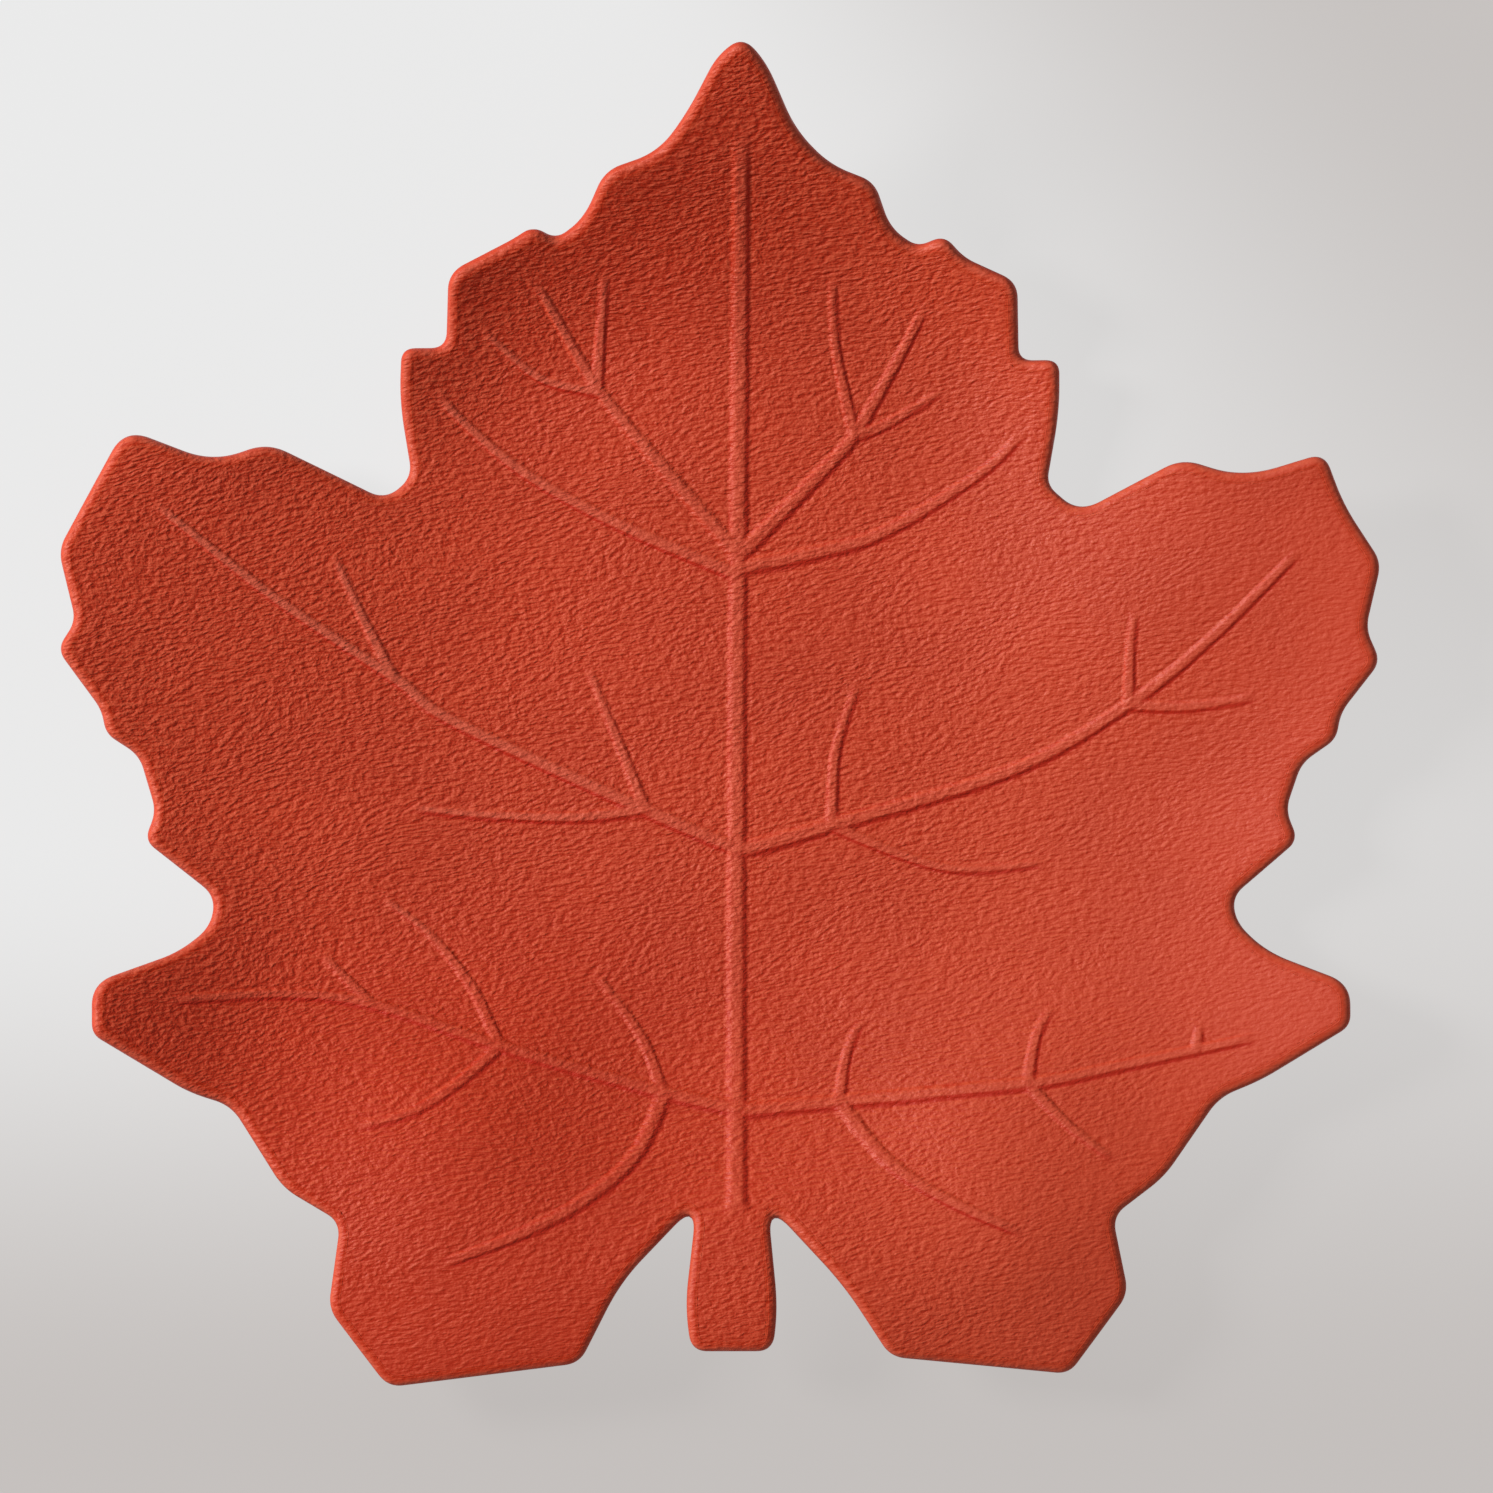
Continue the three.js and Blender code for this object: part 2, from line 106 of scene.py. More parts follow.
# The outline as corners, counter-clockwise from the tip: x, y and how far each corner is rounded back
OUTLINE = np.array([
    # left half of the tip lobe
    (4, 112.9, 3.5), (-0.4, 109.7, 3), (-5.4, 100.3, 4), (-10.2, 93.9, 4), (-19.2, 90.8, 3),
    (-22.7, 82.9, 3.5), (-27.2, 79.5, 2), (-31.1, 81.7, 2.5), (-34.7, 79.4, 1.5), (-45.5, 73.8, 3),
    (-45.8, 61.1, 2.5), (-53.3, 61.1, 2.5), (-53.6, 51.9, 5), (-51.4, 39, 2.5), (-55.8, 35.3, 3),
    # upper left lobe
    (-75.2, 45.1, 3.5), (-84.3, 41.9, 5), (-98.8, 47.6, 4.6), (-110, 26.9, 2.5),
    (-107.2, 15.1, 2), (-110.3, 10.3, 2.3), (-103, 0.3, 1.8), (-102.2, -3.8, 1.8), (-96.7, -7.4, 2.2),
    (-94, -16.6, 2), (-95.9, -21.6, 2.2), (-84.2, -30.8, 2.5), (-84.9, -35.8, 2.8),
    # lower left lobe
    (-90.2, -40.1, 3.5), (-104.7, -45.4, 3.8), (-104.7, -53.9, 1.8), (-88.5, -63.6, 3),
    (-81.3, -65.9, 2.8),
    # bottom left lobe
    (-72.4, -79.3, 2.8), (-62.7, -84.8, 2.5), (-64.8, -98.8, 2.5), (-54.7, -111.9, 2.5),
    (-23, -107.7, 2.5), (-16.2, -94.8, 5), (-3.8, -82.4, 5),
    # stem
    (-5.7, -98.4, 4), (-4.7, -105.8, 2.8), (9, -105.8, 2.8), (9.8, -98.8, 4), (8.2, -82.6, 5),
    # bottom right lobe
    (20.5, -95.3, 5), (28.3, -106.8, 2.5), (58, -109.8, 2.3), (68, -96.4, 2.5), (65.3, -83.8, 2.5),
    (74, -77.4, 3),
    # lower right lobe
    (83.3, -64.4, 2.8), (90.5, -61.4, 3), (105.3, -52.4, 2), (105.3, -45.1, 3.8), (91.5, -39.9, 4),
    (86.4, -35.1, 2.8), (85.8, -30.8, 2.2),
    # upper right lobe
    (96.8, -21.4, 2.2), (94.7, -16.4, 2.2), (97.3, -8.6, 2.2), (103, -4.6, 1.8), (103.8, -0.1, 2),
    (110.3, 8.3, 2.2), (107.8, 13.8, 2.2), (110.3, 24.8, 2.3), (104, 34.4, 4), (100.7, 43.3, 3),
    (87.2, 39.1, 6), (77.2, 42.3, 3.2), (60.3, 33.1, 4), (55, 37.7, 2),
    # right half of the tip lobe
    (57.2, 50.1, 5), (57.2, 59, 2.5), (50.4, 58.9, 2.2), (50.2, 72.2, 2.8), (41.2, 76.3, 2),
    (37.8, 80.1, 2.2), (33.2, 78.2, 1.8), (28.8, 81.2, 3), (26.1, 88.9, 2.5), (18.6, 91.8, 3.5),
    (12.9, 97.5, 4), (8, 108.7, 3.7),
])

# The steps round a corner and along the edge, and how an inset is held back in tight corners: to a share of
# their radius, eased over a number of points to either side
CORNER_STEPS = 16
EDGE_STEP = 0.5
TIGHT_SHARE = 0.85
TIGHT_REACH = 5

# Veins: each kind's width at root and tip, its height at root and tip, and the length of its fading tip
VEIN_SIZES = {
    "midrib": (4.0, 3.4, 0.38, 0.34, 9),
    "main": (3.4, 2.0, 0.37, 0.26, 5),
    "branch": (2.6, 1.6, 0.31, 0.22, 3),
}

# Across a vein, in its half widths: its level crest, the groove along its foot, how the groove fades out on
# another vein, the rows of points that carry the vein, and the gap from them to the grid
VEIN_CREST = 0.35
GROOVE_WIDTH = 0.16
GROOVE_START = 0.6
GROOVE_BLEND = 0.3
GRID_GAP = 0.15
VEIN_ROWS = (-1.4, -1.2, -1, -0.8, -0.6, -0.4, -0.2, 0, 0.2, 0.4, 0.6, 0.8, 1, 1.2, 1.4)

# The groove's depth as a share of the vein's height, the power that blends crossing veins, the distance
# given to places that no vein is near, and the steps along a vein's curve and along its rows
GROOVE_DEPTH = 0.2
CROSSING_POWER = 4
FAR_AWAY = 9.0
VEIN_CURVE_STEPS = 24
VEIN_STEP = 0.8

# Each vein's course over the leaf, from its root to its tip, seen from above
VEINS = [
    ("midrib", [(3, -81), (3, -14.6), (3.5, 55.4), (3.7, 98)]),
    # tip lobe, left
    ("main", [(2.5, 27), (-10.7, 42.1), (-20.3, 53.9), (-28.2, 67.3), (-31.3, 71.6)]),
    ("branch", [(-20.2, 54), (-19.5, 64.3), (-18.8, 72.8)]),
    ("branch", [(-19.8, 53), (-29.8, 55.4), (-39.2, 63.1)]),
    ("main", [(2.5, 23), (-16.3, 30.9), (-32, 39.4), (-41.5, 47.1), (-47.3, 53.1)]),
    # tip lobe, right
    ("main", [(3.5, 26), (16.8, 39.4), (22.8, 46.3), (30.5, 59.8), (34.5, 67.8)]),
    ("branch", [(22.4, 46), (19.5, 59.8), (18.8, 71.9)]),
    ("branch", [(22.4, 45.6), (28.3, 47.9), (37.2, 53.3)]),
    ("main", [(3.5, 23.8), (16, 26.3), (27.8, 29.9), (43.8, 39.8), (50.7, 46.6)]),
    # upper left lobe
    ("main", [(3, -22.8), (-12.3, -16.3), (-44.2, -1.6), (-53.7, 5.4), (-75.2, 19.9), (-94, 34.8)]),
    ("branch", [(-53.9, 5.4), (-59.3, 15.9), (-64, 25.9)]),
    ("branch", [(-12.3, -16.1), (-17, -4.3), (-21.8, 7.4)]),
    ("branch", [(-12.5, -16.3), (-24.2, -17.6), (-40.2, -17.1), (-51.2, -15.9)]),
    # upper right lobe
    ("main", [(3, -23.3), (18.5, -19), (48.5, -9.9), (68, 1.1), (82.2, 12.6), (96.7, 27.1)]),
    ("branch", [(68, 1.1), (68.3, 10.3), (69, 17.1)]),
    ("branch", [(68.2, 1), (78.3, 0.8), (89.3, 2.4)]),
    ("branch", [(18.7, -19), (19.5, -6.3), (23.2, 4.8)]),
    ("branch", [(18.5, -19), (37.5, -25.9), (54.3, -25.1)]),
    # lower left and bottom left lobes
    ("main", [(3, -66), (-9, -63.3), (-36.2, -55.6), (-57.7, -48.6), (-72, -46.9), (-92.3, -47.9)]),
    ("branch", [(-9.3, -63.2), (-13, -53.8), (-20.7, -43.3)]),
    ("branch", [(-36.5, -55.5), (-41, -45.8), (-48.2, -36.9), (-56, -30.9)]),
    ("branch", [(-57.7, -48.6), (-66.5, -39.8)]),
    ("branch", [(-36.3, -55.6), (-44.2, -62.4), (-52, -66.9), (-60.8, -68.9)]),
    ("main", [(-9, -63.5), (-13.8, -73.6), (-21.8, -80.8), (-32.2, -86.4), (-47, -92.1)]),
    # lower right and bottom right lobes
    ("main", [(3, -66.4), (20, -64.8), (51, -61.8), (67.8, -58.6), (89.8, -53.9)]),
    ("branch", [(20, -64.8), (21.2, -56.9), (23.8, -50.9)]),
    ("branch", [(51.2, -61.8), (52.7, -53.8), (55.3, -48.9)]),
    ("branch", [(79.2, -56.2), (79.8, -51.3)]),
    ("main", [(20, -64.8), (27.8, -74.4), (37.5, -80.8), (51, -86.8)]),
    ("branch", [(51.2, -61.8), (58.2, -68.9), (65.3, -74.4)]),
]

# The light is painted in from one side: the way to that side over the veins and over the grain, and how much
# a change in height along it changes the tone: painted shade on the veins' far flanks, painted highlight on
# the wrinkles' near flanks
VEIN_SHADE_SHIFT = np.array([-0.22, 0.3])
VEIN_SHADE_GAIN = 10
GRAIN_HIGHLIGHT_SHIFT = (-0.2, 0.12, 0)
GRAIN_HIGHLIGHT_GAIN = 4.0

# The range that a noise mostly keeps to
NOISE_RANGE = (0.3, 0.7)

# The grain's depth, the shares of its folds, pebbles and pores, and the way its folds run
GRAIN_DEPTH = 0.38
FOLD_SHARE = 0.8
PEBBLE_SHARE = 0.15
PORE_SHARE = 0.05
FOLD_STRETCH = (0.45, 1.0, 0.7)
FOLD_TURN = math.radians(-11)

# The grain's strength in the middle of the leaf and as a share of that where the face meets the paint, and
# how far in from there it is back to full
MIDDLE_GRAIN = 1.44
RIM_GRAIN = 0.8
RIM_WIDTH = 1.4

# How much pale tone the leather takes, part real finish and part painted sheen, and how much less low on the
# left and at the tip
PALE_FINISH_AND_SHEEN = 0.45
LOW_LEFT_LOSS = 0.22
TIP_LOSS = 0.17

# How pale the veins' crests are made at most, part wear and part painted highlight, and how much of that is
# missing low on the left
CREST_WEAR_AND_HIGHLIGHT = 0.65
LOW_LEFT_CREST_LOSS = 0.75

# Edges of the meshes that turn by more than this stay sharp
SHARP_ANGLE = math.radians(50)

# How finely the sheets are divided
FACE_STEP = 0.85
LINING_STEP = 1.8
HIDDEN_STEP = 6.0
LEAST_STEP = 0.2

# The least bend of the outline that counts, the distance at which two places are one, and the triangulation's
# number for triangles inside the ring only
LEAST_BEND = 1e-6
SAME_PLACE = 1e-7
INSIDE_RING = 1


# Plan geometry

def resample(path, step, closed):
    """The same path in even steps of about the given length."""
    if closed:
        path = np.vstack([path, path[:1]])
    lengths = np.hypot(*np.diff(path, axis=0).T)
    along = np.concatenate([[0], np.cumsum(lengths)])
    count = max(int(round(along[-1] / step)), 1)
    marks = np.linspace(0, along[-1], count + 1)
    if closed:
        marks = marks[:-1]
    return np.stack([np.interp(marks, along, path[:, axis]) for axis in (0, 1)], axis=1)


def back_off(corner, neighbour, distance):
    """The point at a distance from a corner along its side, and at most half way to the neighbour."""
    side = neighbour - corner
    return corner + side * min(distance / np.hypot(*side), 0.5)


def leaf_edge():
    """The leaf's edge as a dense ring of points: rounded corners joined by straight sides."""
    corners = OUTLINE[:, :2]
    t = np.linspace(0, 1, CORNER_STEPS + 1)[:, None]
    arcs = []
    for i, (corner, distance) in enumerate(zip(corners, OUTLINE[:, 2])):
        start = back_off(corner, corners[i - 1], distance)
        end = back_off(corner, corners[(i + 1) % len(corners)], distance)
        arcs.append((1 - t) ** 2 * start + 2 * t * (1 - t) * corner + t ** 2 * end)
    return inset(resample(np.vstack(arcs), EDGE_STEP, closed=True), EDGE_EASE)


def outward(ring):
    """The ring's outward directions at its points."""
    ahead = np.roll(ring, -1, axis=0) - np.roll(ring, 1, axis=0)
    ahead /= np.hypot(*ahead.T)[:, None]
    return np.stack([ahead[:, 1], -ahead[:, 0]], axis=1)


def inset(ring, depth):
    """The ring moved inwards by a depth, and by less where a corner is too tight for it."""
    normal = outward(ring)
    side = np.roll(ring, -1, axis=0) - ring
    bend = ((np.roll(normal, -1, axis=0) - normal) * side).sum(axis=1) / (side ** 2).sum(axis=1)
    room = np.minimum(depth, TIGHT_SHARE / np.maximum(bend, LEAST_BEND))
    shifts = range(-TIGHT_REACH, TIGHT_REACH + 1)
    least = np.min([np.roll(room, shift) for shift in shifts], axis=0)
    eased = np.mean([np.roll(least, shift) for shift in shifts], axis=0)
    return ring - normal * eased[:, None]


def inside(places, ring):
    """Which places lie inside a ring."""
    low, high = ring, np.roll(ring, -1, axis=0)
    odd = np.zeros(len(places), bool)
    for (x0, y0), (x1, y1) in zip(low, high):
        if y0 != y1:
            spans = (places[:, 1] < y0) != (places[:, 1] < y1)
            odd ^= spans & (places[:, 0] < x0 + (places[:, 1] - y0) * (x1 - x0) / (y1 - y0))
    return odd


def gap_to(ring, places):
    """Each place's distance to the nearest point of a ring."""
    tree = KDTree(len(ring))
    for i, (x, y) in enumerate(ring):
        tree.insert((x, y, 0), i)
    tree.balance()
    return np.array([tree.find((x, y, 0))[2] for x, y in places])


def grid_inside(ring, step):
    """A grid of staggered rows over the inside of a ring."""
    low, high = ring.min(axis=0), ring.max(axis=0)
    rows = np.arange(low[1], high[1], step * math.sqrt(0.75))
    columns = np.arange(low[0], high[0], step)
    x, y = np.meshgrid(columns, rows)
    x[1::2] += step / 2
    places = np.stack([x.ravel(), y.ravel()], axis=1)
    places = places[inside(places, ring)]
    return places[gap_to(ring, places) > step / 2]


def thinned(places, least):
    """The places in their order, without those closer than a least distance to an earlier one."""
    taken, kept = {}, []
    for x, y in places.tolist():
        column, row = int(x // least), int(y // least)
        around = ((column + i, row + j) for i in (-1, 0, 1) for j in (-1, 0, 1))
        if all(math.dist((x, y), p) >= least for cell in around for p in taken.get(cell, ())):
            taken.setdefault((column, row), []).append((x, y))
            kept.append((x, y))
    return np.array(kept)


# The pressed form

def smoothstep(share):
    """An ease from zero to one over shares of the way."""
    share = np.clip(share, 0, 1)
    return share ** 2 * (3 - 2 * share)


def slopes_at(bearing):
    """The slopes of wall and lip at bearings in degrees, eased from one named bearing to the next."""
    marks = SLOPES[:, 0]
    start = np.searchsorted(marks, bearing, side="right") - 1
    end = (start + 1) % len(marks)
    span = (marks[end] - marks[start]) % 360
    ease = smoothstep(((bearing - marks[start]) % 360) / span)
    return [SLOPES[start, k] + (SLOPES[end, k] - SLOPES[start, k]) * ease for k in (1, 2)]


def dish_height(places):
    """How far the underside of the sheet stands above the table over places of the plan."""
    out = places - DISH_CENTRE
    past = np.maximum(np.hypot(*out.T) - FLAT_RADIUS, 0)
    wall, lip = slopes_at(np.degrees(np.arctan2(out[:, 1], out[:, 0])) % 360)
    on_curve = np.minimum(past, CURVE_WIDTH)
    on_lip = np.clip(past - CURVE_WIDTH, 0, LIP_WIDTH)
    beyond = np.maximum(past - CURVE_WIDTH - LIP_WIDTH, 0)
    curve_rise = wall * on_curve ** 2 / (2 * CURVE_WIDTH)
    lip_rise = wall * on_lip + (lip - wall) * on_lip ** 2 / (2 * LIP_WIDTH)
    return curve_rise + lip_rise + lip * beyond


def press(places, height):
    """Places of the flat sheet, at heights above its underside, on the pressed dish."""
    across, along = np.array([SLOPE_REACH, 0]), np.array([0, SLOPE_REACH])
    slope_x = (dish_height(places + across) - dish_height(places - across)) / (2 * SLOPE_REACH)
    slope_y = (dish_height(places + along) - dish_height(places - along)) / (2 * SLOPE_REACH)
    normal = np.stack([-slope_x, -slope_y, np.ones(len(places))], axis=1)
    normal /= np.linalg.norm(normal, axis=1)[:, None]
    foot = np.column_stack([places, dish_height(places)])
    return foot + normal * np.broadcast_to(height, len(places))[:, None]


def before_press(drawn, height):
    """Where places lie on the flat sheet before pressing takes them, at a height, to where they are drawn."""
    flat = drawn.copy()
    for _ in range(UNPRESS_PASSES):
        flat += drawn - press(flat, height)[:, :2]
    return flat


# Veins

def vein_course(points):
    """A vein's course on the flat sheet as a smooth curve through its points, in even steps."""
    stops = before_press(np.array([points[0], *points, points[-1]], float), SHEET_TOP)
    t = np.linspace(0, 1, VEIN_CURVE_STEPS, endpoint=False)[:, None]
    spans = []
    for before, start, end, after in zip(stops, stops[1:], stops[2:], stops[3:]):
        lead, trail = (end - before) / 2, (after - start) / 2
        cubic = 2 * start - 2 * end + lead + trail
        square = 3 * end - 3 * start - 2 * lead - trail
        spans.append(cubic * t ** 3 + square * t ** 2 + lead * t + start)
    return resample(np.vstack([*spans, stops[-1:]]), VEIN_STEP, closed=False)


def vein_taper(kind, share, length):
    """A vein's half width and height at shares of its course, and how much is left of it as it fades."""
    root_width, tip_width, root_height, tip_height, fade_length = VEIN_SIZES[kind]
    half_width = (root_width + (tip_width - root_width) * share) / 2
    fade = smoothstep((1 - share) * length / fade_length)
    return half_width, (root_height + (tip_height - root_height) * share) * fade, fade


def vein_places():
    """Rows of places along every vein, close enough to carry its rounded section."""
    rows = []
    for kind, points in VEINS:
        path = vein_course(points)
        share = np.linspace(0, 1, len(path))
        half_width = vein_taper(kind, share, VEIN_STEP * len(path))[0]
        ahead = np.gradient(path, axis=0)
        side = np.stack([ahead[:, 1], -ahead[:, 0]], axis=1) / np.hypot(*ahead.T)[:, None]
        rows += [path + side * (half_width * row)[:, None] for row in VEIN_ROWS]
    return np.vstack(rows)


def nearest_on(path, places):
    """Each place's distance to a path, and the share of the path at its nearest point."""
    start, side = path[:-1], np.diff(path, axis=0)
    from_start = places[:, None, :] - start[None]
    t = np.clip((from_start * side).sum(axis=2) / (side ** 2).sum(axis=1), 0, 1)
    gaps = np.linalg.norm(from_start - t[:, :, None] * side, axis=2)
    best = gaps.argmin(axis=1)
    every = np.arange(len(places))
    return gaps[every, best], (best + t[every, best]) / len(side)


def vein_relief(places):
    """How high the veins stand over places of the sheet, with a fine groove along their feet.

    The other results are how far each place is from a vein, in the vein's half widths, and how near it
    is to a vein's crest, from zero at the foot to one.
    """
    relief, groove, crest = np.zeros((3, len(places)))
    away = np.full(len(places), FAR_AWAY)
    for kind, points in VEINS:
        path = vein_course(points)
        reach = VEIN_SIZES[kind][0]
        near = np.all((places > path.min(axis=0) - reach) & (places < path.max(axis=0) + reach), axis=1)
        if not near.any():
            continue
        gap, share = nearest_on(path, places[near])
        half_width, height, fade = vein_taper(kind, share, VEIN_STEP * len(path))
        off = gap / half_width
        rise = 1 - smoothstep((off - VEIN_CREST) / (1 - VEIN_CREST))
        ridge = height * rise
        foot = height * GROOVE_DEPTH * np.exp(-((off - 1) / GROOVE_WIDTH) ** 2)
        both = relief[near] ** CROSSING_POWER + ridge ** CROSSING_POWER
        relief[near] = both ** (1 / CROSSING_POWER)
        groove[near] = np.maximum(groove[near], foot)
        away[near] = np.minimum(away[near], off)
        crest[near] = np.maximum(crest[near], rise ** 2 * fade)
    return relief - groove * smoothstep((away - GROOVE_START) / GROOVE_BLEND), away, crest


# Bodies

def net(ring, inner):
    """Triangles inside a ring, through its points and the inner ones, in their order."""
    places = np.vstack([ring, inner])
    sides = [(i, (i + 1) % len(ring)) for i in range(len(ring))]
    points = [Vector(p) for p in places]
    found = delaunay_2d_cdt(points, sides, [], INSIDE_RING, SAME_PLACE, False)
    if len(found[0]) != len(places):
        raise ValueError("two points of a sheet fall together")
    faces = np.array(found[2])
    return places, faces[inside(places[faces].mean(axis=1), ring)].tolist()


def sheet(ring, lower_inner, lower_height, upper_inner, upper_height):
    """A closed pressed sheet between two heights above its underside, each a function of places."""
    upper, upper_faces = net(ring, upper_inner)
    lower, lower_faces = net(ring, lower_inner)
    count, around = len(upper), len(ring)
    walls = [
        (i, count + i, count + (i + 1) % around, (i + 1) % around)
        for i in range(around)
    ]
    points = np.vstack([press(upper, upper_height(upper)), press(lower, lower_height(lower))])
    faces = [*upper_faces, *([count + i for i in reversed(face)] for face in lower_faces), *walls]
    return upper, points, faces


def edge_bead(ring):
    """The painted edge: round at the top, slanting in at its foot, and lapping over both leathers.

    The last result is how far each point's height is towards the top, from zero at mid height to one.
    """
    inner, lap = EDGE_DEPTH - EDGE_LAP / 2, EDGE_DEPTH + EDGE_LAP
    turns = np.linspace(0, math.pi / 2, ROLL_STEPS + 1)
    roll = [(ROLL_WIDTH * (1 - math.sin(a)), ROLL_HEIGHT * (1 - math.cos(a))) for a in turns]
    upper = [(inner, LAP_THICKNESS), (lap, 0.0), *roll]
    shares = np.linspace(1, 0, SLANT_STEPS + 1)
    slant = [(SLANT_WIDTH * (1 - t ** SLANT_POWER), SLANT_HEIGHT * t) for t in shares]
    section = [(depth, SHEET_TOP - down) for depth, down in upper]
    section += [*slant, (lap, 0.0), (inner, LAP_THICKNESS)]
    rings = [press(inset(ring, depth), height) for depth, height in section]
    points = np.stack(rings, axis=1).reshape(-1, 3)
    middle = SHEET_TOP / 2
    high = np.tile([max(height / middle - 1, 0) for _, height in section], len(ring))
    sides, around = len(section), len(ring)
    faces = []
    for i in range(around):
        here, ahead = i * sides, ((i + 1) % around) * sides
        for k in range(sides):
            up = (k + 1) % sides
            faces.append((here + k, here + up, ahead + up, ahead + k))
    return points, faces, high


def add_piece(name, node, points, faces, material):
    """A smooth mesh in the frame, in place of a CAD node and with its finish."""
    mesh = bpy.data.meshes.new(name)
    mesh.from_pydata((points + DRAWING_SHIFT) * MM, [], faces)
    mesh.shade_smooth()
    mesh.set_sharp_from_angle(angle=SHARP_ANGLE)
    mesh.materials.append(material)
    piece = bpy.data.objects.new(name, mesh)
    bpy.context.scene.collection.objects.link(piece)
    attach(piece, "root")
    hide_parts(node)
    return piece


def set_point_values(piece, name, values):
    """A number for each point of a mesh, which its material can read by name."""
    data = np.zeros(len(piece.data.vertices), np.float32)
    data[:len(values)] = values
    piece.data.attributes.new(name, "FLOAT", "POINT").data.foreach_set("value", data)


# Materials

class Nodes:
    """A material's node tree, with short calls to add nodes and to link them."""

    def __init__(self, name):
        self.material = bpy.data.materials.new(name)
        self.material.use_nodes = True
        self.tree = self.material.node_tree
        self.shader = self.tree.nodes["Principled BSDF"]

    def put(self, socket, value):
        if isinstance(value, bpy.types.NodeSocket):
            self.tree.links.new(value, socket)
        else:
            socket.default_value = value

    def add(self, kind, inputs, output=0, **settings):
        node = self.tree.nodes.new("ShaderNode" + kind)
        for name, value in settings.items():
            setattr(node, name, value)
        for key, value in inputs.items():
            self.put(node.inputs[key], value)
        return node.outputs[output]

    def math(self, operation, a, b=0.0, clamp=False):
        return self.add("Math", {0: a, 1: b}, operation=operation, use_clamp=clamp)

    def ramp(self, value, low, high, to_low=0.0, to_high=1.0):
        inputs = {"Value": value, 1: low, 2: high, 3: to_low, 4: to_high}
        return self.add("MapRange", inputs, interpolation_type="SMOOTHSTEP")

    def spread(self, noise, to_low=0.0, to_high=1.0):
        """The range that a noise mostly keeps to, spread over a given one."""
        return self.ramp(noise, *NOISE_RANGE, to_low, to_high)

    def mix(self, share, a, b):
        return self.add("Mix", {0: share, 6: a, 7: b}, 2, data_type="RGBA")

    def noise(self, vector, scale, detail=2.0, roughness=0.5, output="Factor"):
        inputs = {"Vector": vector, "Scale": scale, "Detail": detail, "Roughness": roughness}
        return self.add("TexNoise", inputs, 0 if output == "Factor" else 1)

    def millimetres(self, stretch=(1, 1, 1), turn=0.0, shift=(0, 0, 0)):
        """The object's own coordinates in millimetres, shifted, turned about Z and then stretched."""
        own = self.add("TexCoord", {}, "Object")
        place = self.add("VectorMath", {0: own, 1: [s * MM for s in shift]})
        turned = self.add("VectorRotate", {"Vector": place, "Angle": turn}, rotation_type="Z_AXIS")
        return self.add("Mapping", {"Vector": turned, "Scale": [s / MM for s in stretch]})

    def warped(self, vector, scale, reach):
        """Coordinates pushed about by a slow noise."""
        push = self.noise(vector, scale, 1.0, output="Color")
        centred = self.add("VectorMath", {0: push, 1: (0.5, 0.5, 0.5)}, operation="SUBTRACT")
        scaled = self.add("VectorMath", {0: centred, "Scale": reach}, operation="SCALE")
        return self.add("VectorMath", {0: vector, 1: scaled}, operation="ADD")

    def value_of(self, name):
        return self.add("Attribute", {}, "Fac", attribute_name=name)

    def shade(self, name, value):
        self.put(self.shader.inputs[name], value)

    def bump(self, height, depth):
        self.shade("Normal", self.add("Bump", {"Height": height, "Distance": depth * MM, "Strength": 1.0}))


def colour(red, green, blue):
    return (red, green, blue, 1.0)


def wrinkles(n, shift=(0, 0, 0)):
    """The height of the leather's grain, from zero to about one: short folds, pebbles and pores."""
    plain = n.millimetres(shift=shift)
    flow = n.warped(n.millimetres(FOLD_STRETCH, FOLD_TURN, shift), scale=0.07, reach=4.0)
    pushed = n.warped(plain, scale=0.5, reach=0.8)
    fold = n.math("MULTIPLY", n.noise(flow, scale=1.6), FOLD_SHARE)
    pebble = n.math("MULTIPLY", n.noise(pushed, scale=1.6, detail=1.0), PEBBLE_SHARE)
    pore = n.math("MULTIPLY", n.noise(plain, scale=4.0, detail=1.0), PORE_SHARE)
    return n.math("ADD", n.math("ADD", fold, pebble), pore)


def wrinkled_leather(name):
    """Red-orange leather with a fine wrinkled grain that follows the piece's own grain values.

    Each wrinkle is painted paler on the side that faces the light from the left, a painted highlight. The
    piece's own pale values say how much pale tone it takes overall, part real finish and part painted sheen.
    """
    n = Nodes(name)
    plain = n.millimetres()
    height, grain = wrinkles(n), n.value_of("grain")
    n.bump(n.math("MULTIPLY", height, grain), GRAIN_DEPTH)

    patch = n.spread(n.noise(plain, scale=0.03, roughness=0.55))
    deep = n.mix(patch, colour(0.42, 0.018, 0.001), colour(0.47, 0.022, 0.002))
    pale = n.mix(patch, colour(0.54, 0.068, 0.025), colour(0.585, 0.077, 0.029))
    # Painted highlight: each wrinkle is mixed towards the pale tone on its side that faces the light
    facing = n.math("SUBTRACT", height, wrinkles(n, GRAIN_HIGHLIGHT_SHIFT))
    painted_highlight = n.math("MULTIPLY", n.math("MULTIPLY", facing, GRAIN_HIGHLIGHT_GAIN), grain)
    pale_and_highlight = n.math("ADD", painted_highlight, n.value_of("pale"), clamp=True)
    return n, plain, n.mix(pale_and_highlight, deep, pale)


